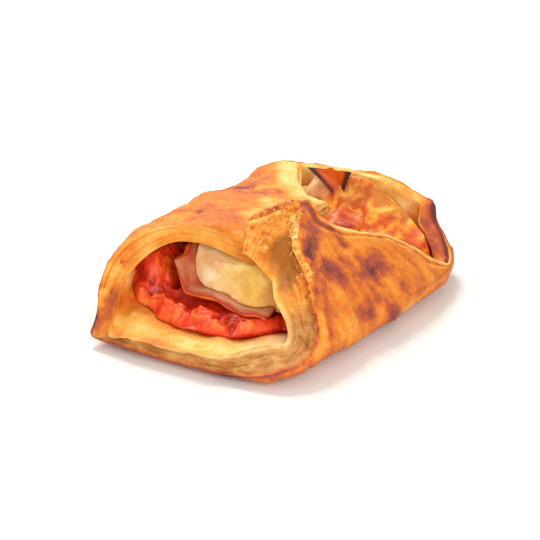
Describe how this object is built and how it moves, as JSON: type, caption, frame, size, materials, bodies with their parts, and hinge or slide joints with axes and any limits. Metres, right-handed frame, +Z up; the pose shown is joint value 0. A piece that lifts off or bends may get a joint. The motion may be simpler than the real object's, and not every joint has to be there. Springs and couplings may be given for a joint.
{
  "type": "savoury pastry basket",
  "caption": "Folded puff pastry basket, open at both ends, filled with ham, melted cheese, tomato sauce and a curl of bacon.",
  "frame": {"origin": "centre of the bounding box on the surface the basket rests on", "axes": "+X along the parcel from the near open end to the far end, +Y towards the tucked left flap, +Z up"},
  "size_m": [0.1226, 0.0972, 0.0428],
  "materials": {
    "puff_pastry": "baked golden-brown crust with a light egg glaze",
    "tomato_sauce": "wet and lumpy",
    "cooked_ham": "moist, stained by sauce at its edge",
    "melted_cheese": "smooth melted surface, browned at the far end",
    "fried_bacon": "oily with a charred rim"
  },
  "bodies": {
    "root": {"pastry": "puff_pastry", "tomato_sauce": "tomato_sauce", "ham_slice": "cooked_ham", "cheese": "melted_cheese", "bacon_curl": "fried_bacon"}
  },
  "joints": []
}
